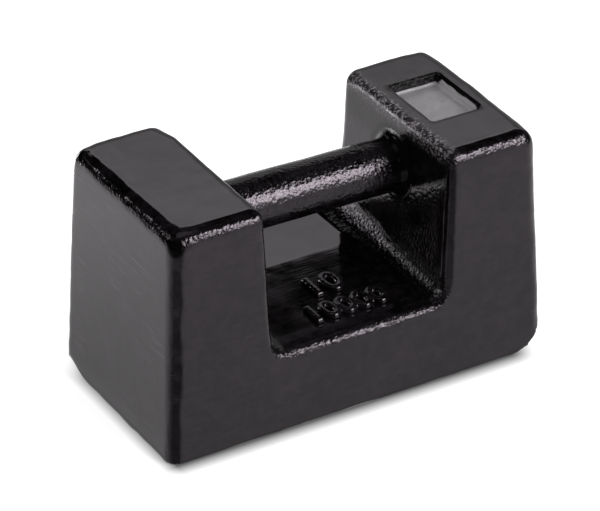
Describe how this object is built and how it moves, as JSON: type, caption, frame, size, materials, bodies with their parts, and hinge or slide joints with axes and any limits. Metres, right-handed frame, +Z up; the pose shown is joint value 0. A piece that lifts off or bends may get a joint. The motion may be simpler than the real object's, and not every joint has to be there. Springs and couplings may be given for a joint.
{
  "type": "calibration weight",
  "caption": "Rectangular cast-iron bar weight with a grip bar between its uprights and a lead-sealed adjusting cavity in the top of an upright.",
  "frame": {"origin": "centre of the base, on the surface that the weight stands on", "axes": "+X along the grip bar, towards the upright that holds the adjusting cavity; +Y across the bar; +Z up"},
  "size_m": [0.1921, 0.1, 0.111],
  "materials": {
    "enamelled_iron": "gloss black enamel over a rough casting",
    "plate_steel": "plain sheared mild steel",
    "seal_lead": "dull lead, driven in with a punch",
    "shot_lead": "dull lead"
  },
  "bodies": {
    "root": {"cast_body": "enamelled_iron", "closing_plate": "plate_steel", "lead_seal": "seal_lead", "adjusting_shot": "shot_lead"}
  },
  "joints": []
}
